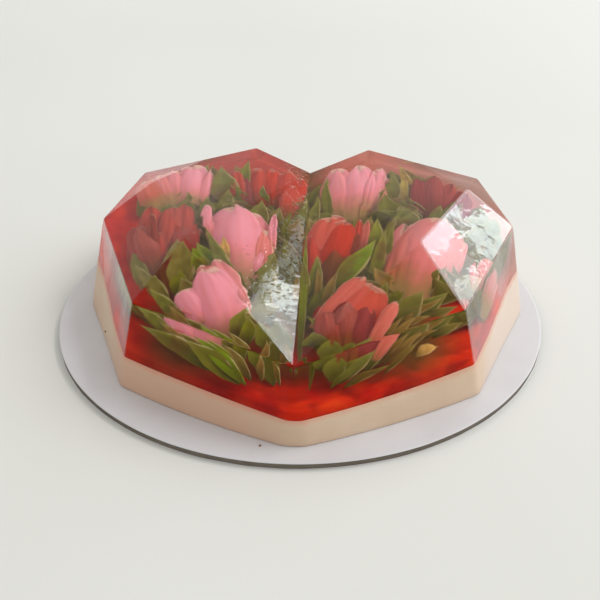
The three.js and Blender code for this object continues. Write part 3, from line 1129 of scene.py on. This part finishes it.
# Groups of bubbles: their middle over the red layer, how far they spread, and how many there are.
BUBBLES = [
    ((-55, -2, 18), 5, 22), ((-28, -12, 17), 8, 14), ((-42, 32, 18), 9, 26), ((-20, -92, 4), 5, 7),
    ((-4, -104, 3), 6, 5), ((20, -92, 4), 16, 7), ((-70, -78, 2), 0.5, 1), ((52, -60, 6), 14, 5)]
BUBBLE_RADIUS = (0.2, 0.5)


def make_bubbles():
    """Tiny bubbles of air that stayed in the clear jelly."""
    draw = random.Random(8)
    walls = [(x, y) for x, y, _z in ring_at(flat(34), -3)]
    bm = bmesh.new()
    for (x, y, height), spread, count in BUBBLES:
        for _ in range(count):
            aside, back = draw.gauss(0, spread / 2), draw.gauss(0, spread / 2)
            spot = over_bed((x + aside, y + back, max(1.0, height + draw.gauss(0, 1.5))))
            radius = draw.uniform(*BUBBLE_RADIUS) * MM
            if within(walls, spot.x, spot.y):
                place = Matrix.Translation(set_down(kept_inside(spot, skin=2.2)))
                bmesh.ops.create_icosphere(bm, subdivisions=2, radius=radius, matrix=place)
    new_extra("air_bubbles", bm, bubble_finish())


# ---- camera, light and table ----------------------------------------------------------------

CAMERA = {"lens": 84, "sensor": 36,
          "at": (0.02862, -0.59360, 0.38195), "turn": (58.0685, 0.1879, 2.6456)}


def set_camera():
    camera = bpy.data.cameras.new("camera")
    camera.lens, camera.sensor_width = CAMERA["lens"], CAMERA["sensor"]
    holder = bpy.data.objects.new("camera", camera)
    holder.location = CAMERA["at"]
    holder.rotation_euler = [math.radians(angle) for angle in CAMERA["turn"]]
    bpy.context.scene.collection.objects.link(holder)
    bpy.context.scene.camera = holder


def add_panel(name, azimuth, height, distance, size, strength, colour):
    """A soft rectangular lamp that faces the cake: azimuth to the right of straight behind it."""
    lamp = bpy.data.lights.new(name, "AREA")
    lamp.shape = "RECTANGLE"
    lamp.size, lamp.size_y = size
    lamp.energy = strength * size[0] * size[1] * math.pi
    lamp.color = colour
    holder = bpy.data.objects.new(name, lamp)
    turn, rise = math.radians(azimuth), math.radians(height)
    towards = Vector((math.sin(turn) * math.cos(rise), math.cos(turn) * math.cos(rise), math.sin(rise)))
    holder.location = towards * distance + Vector((0, 0, 0.04))
    holder.rotation_euler = towards.to_track_quat("Z", "Y").to_euler()
    bpy.context.scene.collection.objects.link(holder)


# Panes that shine in the raised facet and beside the crease: azimuth and height in degrees, size in
# metres, strength and colour.
WINDOW_PANES = [
    ("pane_rose", 26.3, 22.45, (0.105, 0.175), 9, (0.86, 0.9, 1.0)),
    ("pane_dusk", 29.7, 22.9, (0.073, 0.152), 6, (0.88, 0.88, 0.95)),
    ("pane_cream", 33.4, 22.9, (0.12, 0.152), 8.5, (0.95, 1.0, 0.97)),
    ("pane_streak", 29.9, 19.65, (0.31, 0.018), 2.5, (0.9, 1.0, 1.0)),
    ("pane_mint", 32.0, 16.05, (0.194, 0.17), 9.5, (0.86, 0.98, 1.0)),
    ("pane_mauve", 26.3, 15.9, (0.105, 0.164), 3.5, (0.9, 0.9, 1.0)),
    ("crease_pane", 15.2, 34.1, (0.16, 0.165), 7, (0.94, 1.0, 0.98)),
    ("crease_hot_pane", 13.7, 32.2, (0.058, 0.053), 9, (0.9, 1.0, 1.0)),
    ("crease_tip_pane", 16.0, 35.6, (0.047, 0.063), 5, (1.0, 1.0, 0.95)),
    ("crease_glimmer", 12.2, 29.0, (0.03, 0.12), 2.7, (0.9, 1.0, 1.0)),
]


def set_light():
    world = bpy.data.worlds.new("pale_room")
    world.use_nodes = True
    sky = world.node_tree.nodes["Background"].inputs
    sky["Color"].default_value = (1.0, 0.99, 0.97, 1)
    sky["Strength"].default_value = 0.64
    bpy.context.scene.world = world
    add_panel("window_right", 78, 36, 4.0, (3.1, 2.7), 3.5, (0.97, 0.98, 1.0))
    for name, azimuth, height, size, strength, colour in WINDOW_PANES:
        add_panel(name, azimuth, height, 1.5, size, strength, colour)
    add_panel("rim_window", -20, 3.0, 1.5, (0.5, 0.14), 1.0, (1.0, 0.97, 0.94))


def make_floor():
    bm = bmesh.new()
    bmesh.ops.create_grid(bm, x_segments=4, y_segments=4, size=3.0)
    for v in bm.verts:
        v.co.z = -0.0001
    new_piece("table", bm, floor_finish())


set_camera()
set_light()
make_floor()
make_board()
make_milk()
make_red()
make_clear()
petal, leaf = petal_finish(), leaf_finish()
make_tulips(petal)
make_leaves(leaf)
make_thicket(leaf)
make_bubbles()
make_crumbs()

bpy.context.scene.view_settings.view_transform = "Standard"
bpy.context.scene.cycles.use_denoising = True
